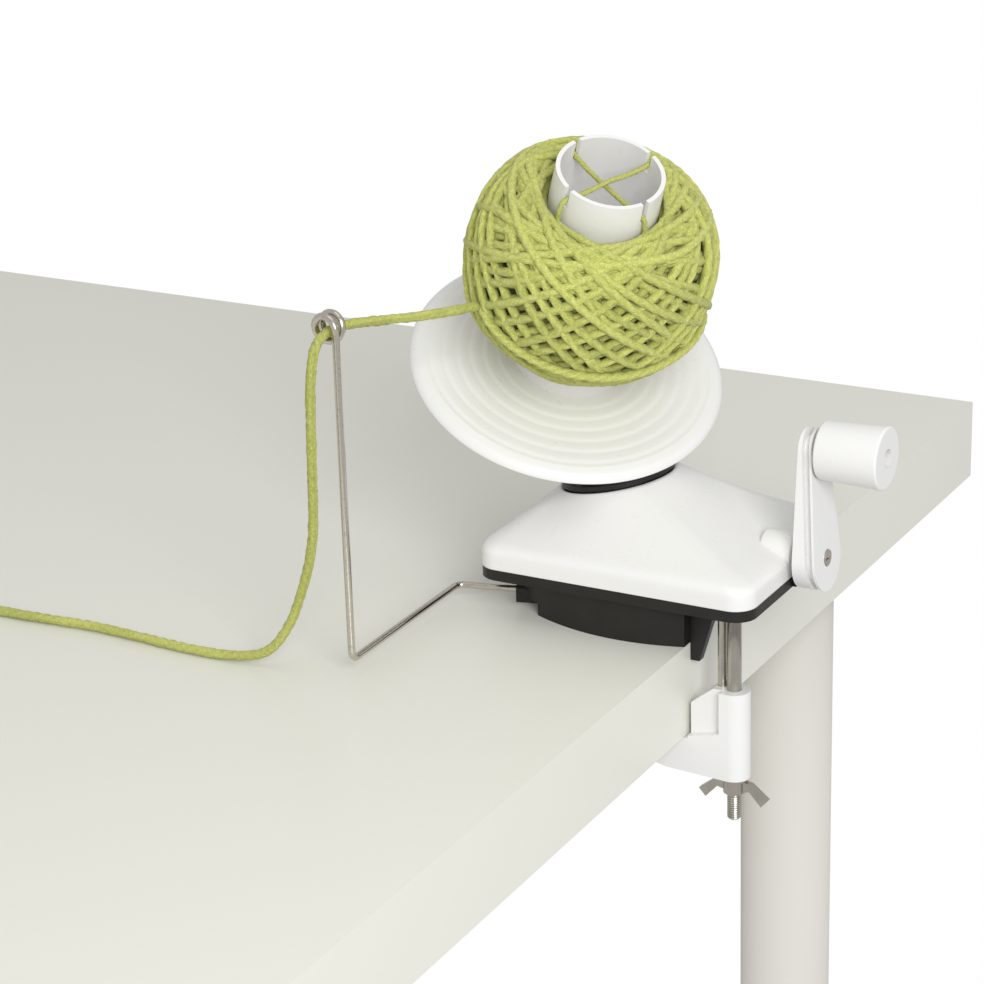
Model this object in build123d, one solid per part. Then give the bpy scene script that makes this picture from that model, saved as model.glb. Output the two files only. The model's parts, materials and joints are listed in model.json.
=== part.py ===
from build123d import *
import math
import os

# Yarn cone winder, clamped on the edge of a table. All sizes are in millimetres.
# Origin: centre of the foot, on the table top. +X points out over the table edge,
# towards the crank, +Y runs along the edge, away from the wire guide, and +Z is up.

past = 1.0                  # how far a cutting solid runs past the face it opens
merge = 0.5                 # how far a solid starts inside the one it grows from

# ---- table edge and foot ----
table_thickness = 40.0      # table top that the jaw is shown clamped on
foot_length = 70.0          # along X; the foot ends at the table edge
foot_width = 94.0           # along Y, at the middle of the bowed front and back
foot_bow_r = 92.0           # radius of the bowed front and back of the foot
foot_bow_x = 5.5            # where the foot is widest
foot_recess = 1.0           # depth of the pocket that takes the rubber pad
pad_margin = 5.0            # edge of the foot left round the rubber pad
pad_gap = 0.2
table_gap = 0.4             # foot and stops to the table edge

# ---- base pan ----
base_length = 124.5         # along X
base_width = 100.0          # along Y
base_corner_r = 9.5
base_offset_x = 4.25        # middle of the pan from the middle of the foot
rim_bottom = 18.0           # height of the rim's underside above the table
rim_height = 4.8
rim_wall = 2.5
belly_wall = 2.5
floor_thickness = 2.5
step_low = 5.4              # underside of the belly where it reaches past the foot
stop_width = 4.0            # the two fins that hook over the table edge, along Y
stop_y = 35.0               # middle of each fin
stop_reach = 11.8           # along X at the rim
stop_tip = 4.0              # along X at the lower end
stop_drop = 7.5             # below the table top
nub_width = 8.0             # rim nub under the crank bush
nub_reach = 1.5
nub_drop = 0.4              # nub's top below the rim's

# ---- top cover ----
cover_wall = 2.0
cover_extra = 0.6           # the wall grows this much towards the neck
cover_side_points = 5       # points along each straight of a section of the cover
cover_arc_points = 5        # points round each of its corners
cover_side_height = 4.0     # upright part of the cover's side
cover_profile = (           # share of the way to the neck, height above the rim
    (0.0, 0.0), (0.0, 3.0), (0.003, 5.6), (0.03, 8.0), (0.10, 10.2),
    (0.30, 14.0), (0.52, 18.4), (0.76, 23.9))
neck_wall = 2.6
neck_depth = 3.4            # straight bore of the neck

# ---- cover screws, one in each corner but the clamp's ----
screw_inset = 8.5           # from the base's sides
screw_d = 2.4
screw_length = 9.6          # under and through the head
screw_head_d = 5.8
screw_head_height = 1.6
screw_head_depth = 0.2      # head below the rim's underside
screw_slot_length = 3.6
screw_slot_width = 0.8
screw_slot_depth = 0.7
screw_gap = 0.2             # round the head, and over it
screw_hole_d = 3.2
screw_boss_r = 3.6          # pan's bosses
screw_pillar_r = 3.4        # cover's pillars
screw_bore_depth = 6.4      # into the pillars

# ---- rotor, turning about an axis that leans towards the wire guide ----
neck_x = -15.0              # middle of the neck's upper edge
neck_z = 53.4
rotor_tilt = 11.6           # degrees from the vertical
rest_turn = -30.6           # degrees, direction in which the cone leans at rest
collar_r = 24.2
collar_thickness = 2.5
collar_gap = 0.4            # collar over the neck's upper edge
spigot_depth = 3.0
spigot_gap = 0.6
spigot_wall = 4.4
post_d = 6.0
post_seat = 1.0             # depth of the post in the pan's floor
post_rise = 0.6             # post and sun gear above the gear's teeth
boss_r = 8.0                # pan's boss round the post
sleeve_d = 12.0
sleeve_hub_wall = 2.5       # carrier's hub round the sleeve
sleeve_hub_depth = 7.0      # below the neck's edge
running_gap = 0.05          # radial clearance of every running fit

# ---- spindle, crossing the rotor axis in the middle of the yarn cake ----
apex_height = 77.6          # crossing point above the neck, along the rotor axis
spindle_tilt = 38.1         # degrees between spindle and rotor axis
spindle_d = 6.0
spindle_head_r = 4.6
spindle_head_height = 2.0
spindle_tip = 4.0           # beyond the cone's web
head_gap = 0.8              # round the head in the carrier
carrier_hub_r = 8.0
carrier_hub_top = 47.8      # below the crossing point, along the spindle
carrier_hub_length = 14.0
carrier_width = 18.0
carrier_foot_gap = 3.0      # arm's foot outside the sun gear
carrier_foot_height = 15.5
carrier_outer_height = 11.0
carrier_reach = 4.5         # arm's outer corner beyond the collar
carrier_inset = 0.4         # arm's foot inside the collar's edge
carrier_neck = 5.0          # arm joins the hub this far above its lower end
carrier_cut = 2.0           # arm's lower corner inside the hub

# ---- washers and clips ----
washer_thickness = 1.0      # under the rotor's pinion
washer_rim = 0.5            # washer inside the boss
washer_gap = 0.1
spindle_washer_r = 6.0
spindle_washer_thickness = 0.8
spindle_washer_gap = 0.3
spindle_clip_r = 5.0
spindle_clip_thickness = 1.0
spindle_clip_mouth = 2.4
carrier_washer_r = 6.5
carrier_washer_thickness = 0.7
post_screw_r = 4.4
post_screw_height = 2.0
post_screw_socket_r = 1.4
post_screw_socket_depth = 1.2

# ---- gears ----
crank_teeth = 32
pinion_teeth = 16
drive_module = 1.2
drive_face = 6.0
sun_teeth = 24
ring_teeth = 76
planet_module = 1.5
planet_face = 6.0
tooth_share = 0.38          # tooth width as a share of the pitch, at the pitch line
tip_share = 0.20            # tooth width at its tip, the same way
addendum_share = 0.80       # of the module
dedendum_share = 1.15
sun_hub_r = 8.0
sun_hub_gap = 0.4           # over the collar
ring_wall = 4.8             # outside the ring gear's pitch circle
ring_lip = 3.0              # inside its narrow end
ring_drop = 0.4             # below its teeth
ring_reach = (0.85, 1.1)    # tooth cut runs past both faces, as shares of the apex distance
gear_hub_r = 8.0
gear_web = 2.5              # crank gear's plate behind its teeth
gear_web_inset = 1.5
gear_gap = 0.3              # crank gear and shaft collar to the pillar's bush

# ---- saucer and cone ----
saucer_r = 67.6
saucer_wall = 2.0
saucer_rim_low = 41.0       # lower edge of the rim below the crossing point
saucer_band = 37.0          # smooth outer band of the saucer, the same way
saucer_band_r = 62.0        # where the band starts to round over
saucer_round = ((-2.7, 0.9), (-0.9, 2.4))   # radius and drop of the rounding's points
step_first_r = 30.5         # radius of the innermost step
step_pitch = 5.7
step_count = 6
step_height = 0.4           # each step inwards stands this much higher
step_run = 0.4              # along the radius
saucer_hub_r = 8.5
saucer_hub_foot_r = 11.0
hub_gap = 0.3               # saucer's hub over its washer
cone_base_r = 24.2
cone_top_r = 22.2
cone_top = 69.5             # above the crossing point
cone_wall = 1.8
cone_floor = 24.0           # height of the web across the cone above the crossing point
cone_floor_thickness = 3.0
slot_width = 2.8
slot_depth = 9.0
slot_count = 4
slot_first = 7.0            # degrees from the leaning side to the first slot

# ---- crank ----
crank_z = 31.5
shaft_d = 8.0
pillar_x = 19.0             # pan's pillar that carries the shaft's inner end
pillar_thickness = 6.0
pillar_r = 9.0
bush_wall = 1.6
bush_flange = 1.2
bush_lip = 1.5              # flange beyond the bush
bush_length = 7.0
crank_boss_wall = 3.0       # cover's boss round the bush
shaft_clearance = 0.8       # round the shaft where it runs inside the cover
shaft_collar_r = 7.0
shaft_collar_length = 4.0
arm_gap = 3.5               # cover's side to the crank arm
arm_thickness = 10.0        # at the shaft
arm_lean = 4.9              # degrees by which the outer face leans back to the tip
arm_length = 46.7
arm_hub_r = 13.8
arm_tip_r = 8.5
arm_floor = 3.0             # arm left beyond the shaft's end
groove_width = 3.0          # groove that runs round the arm's edge
groove_depth = 2.6
groove_rim = 1.1            # from the outer face
crank_screw_d = 3.0
crank_screw_length = 10.0   # below its head
crank_screw_head_r = 3.4
crank_screw_head_height = 2.0
crank_screw_depth = 1.6     # head sunk in the arm
crank_screw_gap = 0.2
crank_slot_length = 5.2
crank_slot_width = 1.0
grip_length = 27.5
grip_inner_r = 12.2
grip_outer_r = 13.2
grip_round = 1.0
grip_bore_d = 8.0
grip_bore_depth = 9.2
grip_pin_d = 5.0
grip_pin_head_gap = 0.6     # round the pin's head in the bore
grip_pin_head_height = 2.5
grip_pin_head_depth = 6.5   # below the grip's end
grip_pin_flange = 1.2       # flange behind the arm, beyond the pin
grip_pin_flange_height = 0.8
grip_gap = 0.6

# ---- clamp ----
rod_x = 55.0
rod_y = -37.0
rod_d = 6.0
rod_low = -75.5
rod_chamfer = 0.8
rod_boss_r = 7.0
rod_head_r = 4.8            # over the corners of its hexagon
rod_head_height = 4.0
guide_pin_d = 4.0
guide_pin_offset = (-6.1, 2.0)
guide_pin_low = -34.0
guide_pin_head_r = 3.0
guide_pin_head_height = 1.6
guide_pin_head_gap = 0.2    # flat on its head beside the rod's
post_r = 6.8
post_top = -17.0
jaw_height = 16.0           # post's foot below the table's underside
jaw_edge_gap = 1.6          # jaw's plate to the table edge
jaw_reach = 43.0            # arm of the jaw in from the table edge
jaw_tip_height = 7.0
jaw_root = 10.0             # arm deepens to the post's foot this far in from the plate
jaw_root_lift = 1.2
jaw_shoulder = 15.0         # upright side of the plate, above the table's underside
jaw_shoulder_run = 10.0
jaw_step = 3.5              # plate set back from the post's front
jaw_step_x = 51.0           # where the step ends at the post
jaw_ridge = (1.0, 4.5)      # lower edge of the step above the table's underside
jaw_slide_gap = 0.1
jaw_pad_r = 4.9
jaw_pad_thickness = 1.5
jaw_pad_inset = 8.0         # from the tip's middle
jaw_washer_r = 6.0
jaw_washer_thickness = 1.2
wing_hub_r = 4.6
wing_hub_height = 6.0
wing_thickness = 2.6
wing_outline = (            # distance from the axis and height, from the nut's top
    (3.8, -0.4), (8.2, -1.2), (15.5, -7.0), (12.5, -10.4), (7.2, -4.6), (3.8, -5.4))

# ---- wire guide ----
wire_d = 3.0
wire_z = 7.7
socket_point = (-48.5, -32.0)       # where the wire enters the belly
wire_bend = (-73.4, -37.8)          # where it turns along the table
wire_foot = (-72.4, -125.7)         # where it turns up
wire_bend_r = 4.0
eye_z = 145.0                       # middle of the eyelet
eye_r = 5.3                         # radius of the eyelet's coil, to the wire's middle
eye_pitch = 5.2                     # from one turn of the eyelet to the next
eye_turns = 1.75
eye_corners = 8                     # the coil is drawn round this many corners a turn
eye_round = 0.96                    # each corner's arc, as a share of the coil's radius
wire_inside = 22.0                  # length of wire held in the belly
socket_wall = 1.8
socket_start = 1.0                  # behind the belly's face
socket_extra = 3.0                  # beyond the wire's end
clip_r = 4.0                        # gap in the socket that takes the wire's clip
clip_start = 14.5
clip_length = 3.0
clip_rim = 0.3                      # clip inside its gap
clip_gap = 0.1

# ---- yarn ----
yarn_d = 4.2
start_yarn_d = 2.2
start_turns = (0.0, 270.0)  # degrees from the first slot to each strand that hangs out
start_bend_r = 1.3
start_gap = 0.5             # from the cone's outside
start_drop = 4.0            # lower end above the yarn cake
cake_profile = (            # radius and height on the spindle, from the crossing point
    (30.0, -21.0), (40.0, -11.0), (46.0, -3.0), (50.0, 5.0), (51.3, 18.0),
    (51.0, 30.0), (49.0, 40.0), (45.0, 47.0), (40.0, 52.0), (35.0, 54.6), (28.0, 53.5))
cake_low = -28.0            # where the yarn meets the cone, below and above
cake_high = 50.0
cake_gap = 0.1
bend_share = 0.45           # yarn's arcs, of the shorter run beside each
tail_points = (             # from the eyelet down to the table, and away on it
    (-77.7, -121.4, 143.6), (-77.5, -129.2, 143.2), (-76.4, -136.0, 138.8), (-76.6, -138.6, 129.0),
    (-77.6, -138.4, 114.0), (-79.8, -136.0, 88.0), (-82.6, -133.0, 61.0), (-89.4, -131.0, 39.6),
    (-98.0, -131.0, 19.0), (-109.0, -131.6, 5.6), (-126.0, -133.0, 2.3), (-146.0, -134.4, 2.4),
    (-170.0, -132.4, 2.3), (-196.0, -131.0, 2.4), (-220.0, -133.4, 2.3), (-246.0, -135.0, 2.4),
    (-262.0, -134.2, 2.3))
feed_points = (             # from the eyelet to the cake
    (-77.7, -121.4, 143.6), (-77.0, -112.4, 143.9), (-69.6, -90.0, 140.4), (-62.0, -68.6, 137.2),
    (-53.6, -47.7, 136.2))

# ---- places worked out from the sizes above ----
table_edge_x = foot_length / 2 + table_gap
rim_top = rim_bottom + rim_height
rod_seat = rim_top
base_end_x = base_offset_x + base_length / 2
pan_floor = foot_recess + floor_thickness
neck_r = collar_r + spigot_gap
bush_r = shaft_d / 2 + bush_wall
arm_inner_x = base_end_x + arm_gap
step_left = -socket_point[0]
under_table = -table_thickness
jaw_low = under_table - jaw_height
jaw_tip_x = table_edge_x - jaw_reach
tilt = math.radians(rotor_tilt)
lean = math.radians(spindle_tilt)
turn = math.radians(rest_turn)
rotor_dir = Vector(-math.sin(tilt), 0, math.cos(tilt))
rotor_side = Vector(math.cos(tilt), 0, math.sin(tilt))
neck_point = Vector(neck_x, 0, neck_z)
lean_side = rotor_side * math.cos(turn) + Vector(0, 1, 0) * math.sin(turn)
apex = neck_point + rotor_dir * apex_height
spool_dir = rotor_dir * math.cos(lean) + lean_side * math.sin(lean)
spool_side = lean_side * math.cos(lean) - rotor_dir * math.sin(lean)
fixed_frame = Plane(origin=neck_point, x_dir=rotor_side, z_dir=rotor_dir)
rotor_frame = Plane(origin=neck_point, x_dir=lean_side, z_dir=rotor_dir)
spool_frame = Plane(origin=apex, x_dir=spool_side, z_dir=spool_dir)
guide_dir = Vector(socket_point[0] - wire_bend[0], socket_point[1] - wire_bend[1], 0).normalized()
guide_frame = Plane(origin=(socket_point[0], socket_point[1], wire_z), x_dir=(0, 0, 1), z_dir=guide_dir)
rod_place = Pos(rod_x, rod_y, 0)
pin_place = Pos(rod_x + guide_pin_offset[0], rod_y + guide_pin_offset[1], 0)
post_low = -(neck_z - pan_floor + post_seat) / math.cos(tilt)


# ---- simple solids ----
def at(frame, shape):
    return frame.location * shape


def disc(radius, low, high):
    return Pos(0, 0, low) * extrude(Circle(radius), high - low)


def tube(outer, inner, low, high):
    return disc(outer, low, high) - disc(inner, low - past, high + past)


def block(x0, x1, y0, y1, z0, z1):
    return Pos((x0 + x1) / 2, (y0 + y1) / 2, (z0 + z1) / 2) * Box(x1 - x0, y1 - y0, z1 - z0)


def slab_above(height):
    """Everything over a height, wider and taller than the base."""
    return block(-base_length, base_length, -base_width, base_width, height, height + base_length)


def along_x(shape, x, y, z):
    return Plane(origin=(x, y, z), x_dir=(0, 1, 0), z_dir=(1, 0, 0)).location * shape


def prism_xz(points, y0, y1):
    face = Plane.XZ * make_face(Polyline(*points, close=True))
    return Pos(0, y1, 0) * extrude(face, y1 - y0)


def spun(points):
    return revolve(Plane.XZ * make_face(Polyline(*points, close=True)), Axis.Z)


def rod_path(points, radii, diameter):
    path = FilletPolyline(*points, radius=radii)
    start = Plane(origin=path @ 0, z_dir=path % 0)
    return sweep(start * Circle(diameter / 2), path=path)


def corner_radii(points):
    """One arc for each corner, as large as its two runs allow."""
    radii = []
    for a, b, c in zip(points, points[1:], points[2:]):
        first, second = Vector(b) - Vector(a), Vector(c) - Vector(b)
        half_turn = math.radians(first.get_angle(second)) / 2
        radii.append(bend_share * min(first.length, second.length) / math.tan(half_turn))
    return radii


# ---- bevel gears: every tooth narrows towards the gear's apex ----
def pitch_angles(small, large, shaft_angle):
    other = math.atan2(math.sin(shaft_angle), large / small + math.cos(shaft_angle))
    return other, shaft_angle - other


def tooth_outline(teeth, radius, module, angle, inner, phase):
    sign = -1 if inner else 1
    pitch = 2 * math.pi / teeth
    tip = radius + sign * addendum_share * module / math.cos(angle)
    root = radius - sign * dedendum_share * module / math.cos(angle)
    half_root = pitch * (2 * tooth_share - tip_share) / 2
    half_tip = pitch * tip_share / 2
    points = []
    for k in range(teeth):
        middle = (k + phase) * pitch
        for r, turn_by in ((root, -half_root), (tip, -half_tip), (tip, half_tip), (root, half_root)):
            points.append((r * math.cos(middle + turn_by), r * math.sin(middle + turn_by)))
    return points


def tooth_loft(teeth, radius, module, angle, near, far, inner=False, phase=0.0):
    """Loft between the tooth outlines at two distances from the apex, near and far,
    given as shares of the distance at which the gear has its full pitch radius."""
    depth = radius / math.tan(angle)
    outline = tooth_outline(teeth, radius, module, angle, inner, phase)
    wires = []
    for share in (far, near):
        corners = [Vector(x * share, y * share, -depth * share) for x, y in outline]
        wires.append(Wire.make_polygon(corners, close=True))
    return Solid.make_loft(wires, ruled=True)


drive_drop = (neck_z - crank_z) / math.cos(tilt)
drive_apex = neck_point - rotor_dir * drive_drop
crank_gear_r = crank_teeth * drive_module / 2
pinion_r = pinion_teeth * drive_module / 2
pinion_angle, crank_gear_angle = pitch_angles(pinion_teeth, crank_teeth, math.pi / 2 - tilt)
drive_cone = crank_gear_r / math.sin(crank_gear_angle)
drive_near = 1 - drive_face / drive_cone
gear_far = drive_cone * math.cos(crank_gear_angle)
gear_near = gear_far * drive_near
pinion_low = -drive_drop - drive_cone * math.cos(pinion_angle)
pinion_high = -drive_drop - drive_cone * drive_near * math.cos(pinion_angle)
boss_high = pinion_low - washer_thickness
sun_r = sun_teeth * planet_module / 2
ring_r = ring_teeth * planet_module / 2
sun_angle = math.atan2(math.sin(lean), ring_teeth / sun_teeth - math.cos(lean))
ring_angle = lean + sun_angle
planet_cone = sun_r / math.sin(sun_angle)
planet_near = 1 - planet_face / planet_cone
sun_top = apex_height - planet_cone * planet_near * math.cos(sun_angle) + post_rise
ring_low = planet_cone * math.cos(ring_angle)
ring_outer_r = ring_r + ring_wall


# ---- base pan, foot and clamp fastenings ----
def rim_outline(shrink):
    return Pos(base_offset_x, 0) * RectangleRounded(
        base_length - 2 * shrink, base_width - 2 * shrink, base_corner_r - shrink)


def belly_outline(shrink, left):
    """Foot's outline with bowed front and back; left is its reach towards the wire guide."""
    offset = foot_bow_r - foot_width / 2
    lens = Pos(foot_bow_x, offset) * Circle(foot_bow_r - shrink)
    lens &= Pos(foot_bow_x, -offset) * Circle(foot_bow_r - shrink)
    low, high = shrink - left, foot_length / 2 - shrink
    return lens & (Pos((low + high) / 2, 0) * Rectangle(high - low, base_width))


def screw_places():
    left = base_offset_x - base_length / 2 + screw_inset
    right = base_end_x - screw_inset
    back = base_width / 2 - screw_inset
    return ((left, -back), (left, back), (right, back))


def pan_shell():
    shell = extrude(belly_outline(0, foot_length / 2), rim_bottom + merge)
    shell += Pos(0, 0, step_low) * extrude(belly_outline(0, step_left), rim_bottom + merge - step_low)
    shell += Pos(0, 0, rim_bottom) * extrude(rim_outline(0), rim_height)
    shell -= Pos(0, 0, rim_bottom + floor_thickness) * extrude(rim_outline(rim_wall), rim_height)
    for floor, left in ((pan_floor, foot_length / 2), (step_low + floor_thickness, step_left)):
        shell -= Pos(0, 0, floor) * extrude(belly_outline(belly_wall, left), rim_top)
    return shell - extrude(belly_outline(pad_margin, foot_length / 2), foot_recess)


def edge_stop():
    """Fin that hooks over the table edge."""
    left = table_edge_x
    return prism_xz(((left, rim_bottom + merge), (left, -stop_drop), (left + stop_tip, -stop_drop),
                     (left + stop_reach, rim_bottom + merge)), -stop_width / 2, stop_width / 2)


def wire_socket():
    outer_r = wire_d / 2 + running_gap + socket_wall
    deep = wire_inside + socket_extra
    rib = block(pan_floor - merge - wire_z, 0, -outer_r, outer_r, socket_start, deep)
    return at(guide_frame, disc(outer_r, socket_start, deep) + rib)


def base_pan():
    pan = pan_shell()
    for side in (-1, 1):
        pan += Pos(0, side * stop_y, 0) * edge_stop()
    pan += block(base_end_x - rim_wall, base_end_x + nub_reach, -nub_width / 2, nub_width / 2,
                 rim_bottom, rim_top - nub_drop)
    pan += at(fixed_frame, disc(boss_r, post_low - boss_r, boss_high)) & slab_above(pan_floor - merge)
    pan -= at(fixed_frame, disc(post_d / 2, post_low, boss_high + past))
    pillar = block(pillar_x, pillar_x + pillar_thickness, -pillar_r, pillar_r, pan_floor - merge, crank_z)
    pan += pillar + along_x(disc(pillar_r, 0, pillar_thickness), pillar_x, 0, crank_z)
    pan -= along_x(disc(bush_r, -past, pillar_thickness + past), pillar_x, 0, crank_z)
    head_room = screw_head_d / 2 + screw_gap
    head_depth = screw_head_depth + screw_head_height
    for x, y in screw_places():
        pan += Pos(x, y, rim_bottom) * disc(screw_boss_r, 0, rim_height)
        pan -= Pos(x, y, rim_bottom) * disc(screw_hole_d / 2, -past, rim_height + past)
        pan -= Pos(x, y, rim_bottom) * disc(head_room, -past, head_depth)
    pan += rod_place * disc(rod_boss_r, rim_bottom, rod_seat)
    pan -= rod_place * disc(rod_d / 2, rim_bottom - past, rod_seat + past)
    pan -= pin_place * disc(guide_pin_d / 2, rim_bottom - past, rod_seat + past)
    pan += wire_socket()
    pan -= at(guide_frame, disc(wire_d / 2 + running_gap, -belly_wall - past, wire_inside + past))
    clip_room = at(guide_frame, disc(clip_r, clip_start, clip_start + clip_length))
    return pan - (clip_room & slab_above(pan_floor))


def foot_pad():
    return extrude(belly_outline(pad_margin + pad_gap, foot_length / 2), foot_recess)


def cover_screws():
    screws = []
    head = disc(screw_head_d / 2, 0, screw_head_height)
    slot = extrude(Rectangle(screw_slot_length, screw_slot_width), screw_slot_depth)
    for x, y in screw_places():
        place = Pos(x, y, rim_bottom + screw_head_depth)
        screws.append(place * (head + disc(screw_d / 2, screw_head_height - merge, screw_length) - slot))
    return Compound(children=screws)


# ---- top cover: a rounded rectangle that slides, point by point, into the neck's circle ----
def outline_points(shrink):
    """Points round the base's rounded rectangle, from its middle."""
    half_x, half_y = base_length / 2 - base_corner_r, base_width / 2 - base_corner_r
    r = base_corner_r - shrink
    ends = ((-half_x, half_y + r), (-half_x - r, -half_y), (half_x, -half_y - r), (half_x + r, half_y))
    points = []
    for k, (sx, sy) in enumerate(((1, 1), (-1, 1), (-1, -1), (1, -1))):
        for j in range(cover_arc_points):
            angle = math.pi / 2 * (k + j / (cover_arc_points - 1))
            points.append((sx * half_x + r * math.cos(angle), sy * half_y + r * math.sin(angle)))
        start, end = points[-1], ends[k]
        for j in range(1, cover_side_points + 1):
            share = (1 - math.cos(math.pi * j / (cover_side_points + 1))) / 2
            points.append((start[0] + (end[0] - start[0]) * share, start[1] + (end[1] - start[1]) * share))
    return points


def neck_ring(radius, angle, along=0.0):
    return (neck_point + rotor_side * (radius * math.cos(angle)) + Vector(0, radius * math.sin(angle), 0)
            + rotor_dir * along)


def cover_section(share, height, shrink, radius):
    points = []
    for x, y in outline_points(shrink):
        ring = neck_ring(radius, math.atan2(y, x))
        points.append(Vector((1 - share) * (x + base_offset_x) + share * ring.X,
                             (1 - share) * y + share * ring.Y,
                             rim_top + height + share ** 2 * (ring.Z - neck_z)))
    return Wire([Edge.make_spline(points, periodic=True)])


def neck_section(radius, along):
    points = [neck_ring(radius, math.atan2(y, x), along) for x, y in outline_points(0)]
    return Wire([Edge.make_spline(points, periodic=True)])


def cover_outer():
    sections = [cover_section(share, height, 0, neck_r) for share, height in cover_profile]
    return Solid.make_loft(sections + [neck_section(neck_r, 0)], ruled=True)


def cover_inner():
    bore_r = neck_r - neck_wall
    sections = []
    for share, height in cover_profile:
        drop = cover_wall + cover_extra * share if height > cover_side_height else 0
        sections.append(cover_section(share, height - drop, cover_wall, bore_r))
    return Solid.make_loft(sections + [neck_section(bore_r, -neck_depth), neck_section(bore_r, past)], ruled=True)


def top_cover():
    outer = cover_outer()
    shell = outer - cover_inner()
    boss = along_x(disc(bush_r + crank_boss_wall, -bush_length, 0), base_end_x, 0, crank_z)
    shell += boss & slab_above(rim_top)
    shell -= along_x(disc(bush_r, -bush_length, bush_flange), base_end_x, 0, crank_z)
    shell -= along_x(disc(bush_r + bush_lip, 0, bush_flange), base_end_x, 0, crank_z)
    shell -= along_x(disc(shaft_d / 2 + shaft_clearance, pillar_x - base_end_x, 0), base_end_x, 0, crank_z)
    for x, y in screw_places():
        shell += (Pos(x, y, rim_top) * disc(screw_pillar_r, 0, neck_z - rim_top)) & outer
        shell -= Pos(x, y, rim_top) * disc(screw_d / 2, -past, screw_bore_depth)
    return shell


def flanged_bush(length):
    bore_r = shaft_d / 2 + running_gap
    return tube(bush_r, bore_r, -length, 0) + tube(bush_r + bush_lip, bore_r, 0, bush_flange)


def crank_bush():
    return along_x(flanged_bush(bush_length), base_end_x, 0, crank_z)


def inner_bush():
    return along_x(flanged_bush(pillar_thickness), pillar_x + pillar_thickness, 0, crank_z)


def clamp_rod():
    rod = disc(rod_d / 2, rod_low, rod_seat)
    rod = chamfer(rod.edges().sort_by(Axis.Z)[0], rod_chamfer)
    head = Pos(0, 0, rod_seat) * extrude(RegularPolygon(rod_head_r, 6), rod_head_height)
    return rod_place * (rod + head)


def guide_pin():
    top = rod_seat + guide_pin_head_height
    pin = disc(guide_pin_d / 2, guide_pin_low, rod_seat) + disc(guide_pin_head_r, rod_seat, top)
    return pin_place * pin - rod_place * disc(rod_head_r + guide_pin_head_gap, rod_seat, top + past)


def rotor_post():
    return at(fixed_frame, disc(post_d / 2, post_low, sun_top))


def thrust_washer():
    return at(fixed_frame, tube(boss_r - washer_rim, post_d / 2 + washer_gap, boss_high, pinion_low - washer_gap))


def sun_gear():
    teeth = tooth_loft(sun_teeth, sun_r, planet_module, sun_angle, planet_near, 1.0)
    body = Pos(0, 0, apex_height) * teeth + disc(sun_hub_r, collar_thickness + sun_hub_gap, sun_top)
    return at(rotor_frame, body - disc(post_d / 2, 0, sun_top + past))


def post_screw():
    top = sun_top + post_screw_height
    head = disc(post_screw_r, sun_top, top) - disc(post_screw_socket_r, top - post_screw_socket_depth, top + past)
    return at(fixed_frame, head)


def guide_clip():
    clip = tube(clip_r - clip_rim, wire_d / 2, clip_start + clip_gap, clip_start + clip_length - clip_gap)
    return at(guide_frame, clip)


# ---- crank ----
def crank_gear():
    """Its own axis points back along the shaft, from the point where both drive axes meet."""
    frame = Plane(origin=drive_apex, x_dir=(0, 0, -1), z_dir=(-1, 0, 0))
    hub_end = pillar_x - gear_gap - drive_apex.X
    body = tooth_loft(crank_teeth, crank_gear_r, drive_module, crank_gear_angle, drive_near, 1.0, phase=0.5)
    body += disc(crank_gear_r - gear_web_inset, -gear_far - gear_web, -gear_far)
    body += disc(gear_hub_r, -hub_end, -gear_far)
    return at(frame, body - disc(shaft_d / 2, -hub_end - past, past - gear_near))


def crank_shaft():
    start = drive_apex.X + gear_near
    end = arm_inner_x + arm_thickness - arm_floor
    screw_r = crank_screw_d / 2
    shaft = along_x(disc(shaft_d / 2, 0, end - start), start, 0, crank_z)
    return shaft - along_x(disc(screw_r, -crank_screw_length - past, past), end, 0, crank_z)


def shaft_collar():
    start = pillar_x + pillar_thickness + bush_flange + gear_gap
    return along_x(tube(shaft_collar_r, shaft_d / 2, 0, shaft_collar_length), start, 0, crank_z)


def arm_outline(shrink):
    """Two rounds and the straight sides that touch both."""
    hub_r, tip_r = arm_hub_r - shrink, arm_tip_r - shrink
    angle = math.asin((arm_hub_r - arm_tip_r) / arm_length)
    corners = []
    for side in (1, -1):
        c, s = side * math.cos(angle), math.sin(angle)
        corners += [(hub_r * c, hub_r * s), (tip_r * c, arm_length + tip_r * s)]
    web = make_face(Polyline(corners[0], corners[1], corners[3], corners[2], close=True))
    return Circle(hub_r) + Pos(0, arm_length) * Circle(tip_r) + web


def crank_arm():
    size = 4 * arm_length
    outer_face = Pos(0, 0, arm_thickness) * Rot(-arm_lean, 0, 0)
    arm = extrude(arm_outline(0), arm_thickness + arm_hub_r) - outer_face * extrude(Rectangle(size, size), arm_length)
    ring = extrude(arm_outline(-past), groove_width) - extrude(arm_outline(groove_depth), groove_width)
    arm -= outer_face * (Pos(0, 0, -groove_rim - groove_width) * ring)
    arm -= disc(shaft_d / 2, -past, arm_thickness - arm_floor)
    arm -= disc(crank_screw_d / 2 + crank_screw_gap, 0, arm_thickness + past)
    arm -= disc(crank_screw_head_r + crank_screw_gap, arm_thickness - crank_screw_depth, arm_thickness + arm_hub_r)
    arm -= Pos(0, arm_length, 0) * disc(grip_pin_d / 2, -past, arm_thickness + past)
    return along_x(arm, arm_inner_x, 0, crank_z)


def crank_screw():
    seat = arm_thickness - crank_screw_depth
    top = seat + crank_screw_head_height
    screw = disc(crank_screw_head_r, seat, top) + disc(crank_screw_d / 2, seat - crank_screw_length, seat + merge)
    screw -= Pos(0, 0, top - screw_slot_depth) * extrude(Rectangle(crank_slot_length, crank_slot_width), past)
    return along_x(screw, arm_inner_x, 0, crank_z)


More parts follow.
